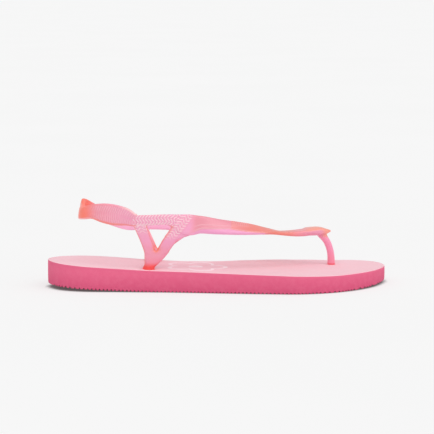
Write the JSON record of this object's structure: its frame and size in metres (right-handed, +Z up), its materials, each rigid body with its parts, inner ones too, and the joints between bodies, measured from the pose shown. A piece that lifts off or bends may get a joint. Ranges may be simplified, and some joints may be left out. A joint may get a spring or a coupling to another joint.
{
  "type": "thong sandal with heel sling",
  "caption": "Thong sandal for a right foot: a flat foam sole with a soft one-piece strap that has a toe post, V-shaped side legs and a sling round the heel.",
  "frame": {"origin": "centre of the sole's outline in plan, on the ground", "axes": "+X to the toe, +Y to the inner side of the foot, +Z up"},
  "size_m": [0.25, 0.0887, 0.0639],
  "materials": {
    "sole_foam": "matt fine-grained foam rubber",
    "footbed_foam": "matt pale foam rubber with a fine raised grain",
    "strap_vinyl": "glossy translucent soft vinyl"
  },
  "bodies": {
    "sandal": {"outsole": "sole_foam", "midsole": "sole_foam", "footbed": "footbed_foam", "toe_post": "strap_vinyl", "toe_saddle": "strap_vinyl", "lateral_front_strap": "strap_vinyl", "medial_front_strap": "strap_vinyl", "lateral_bridge": "strap_vinyl", "medial_bridge": "strap_vinyl", "lateral_plug": "strap_vinyl", "medial_plug": "strap_vinyl", "lateral_rear_leg": "strap_vinyl", "medial_rear_leg": "strap_vinyl", "lateral_front_leg": "strap_vinyl", "medial_front_leg": "strap_vinyl"},
    "heel_sling": {"lateral_sling_arm": "strap_vinyl", "medial_sling_arm": "strap_vinyl", "heel_band": "strap_vinyl"}
  },
  "joints": [
    {"name": "sling_swing", "type": "hinge", "parent": "sandal", "child": "heel_sling", "pos_m": [-0.0605, -0.0282, 0.0522], "axis": [0, 0.9816, -0.1908], "range_deg": [-35, 55], "stiffness_Nm_per_rad": 0.05, "springref_deg": 0.8}
  ]
}
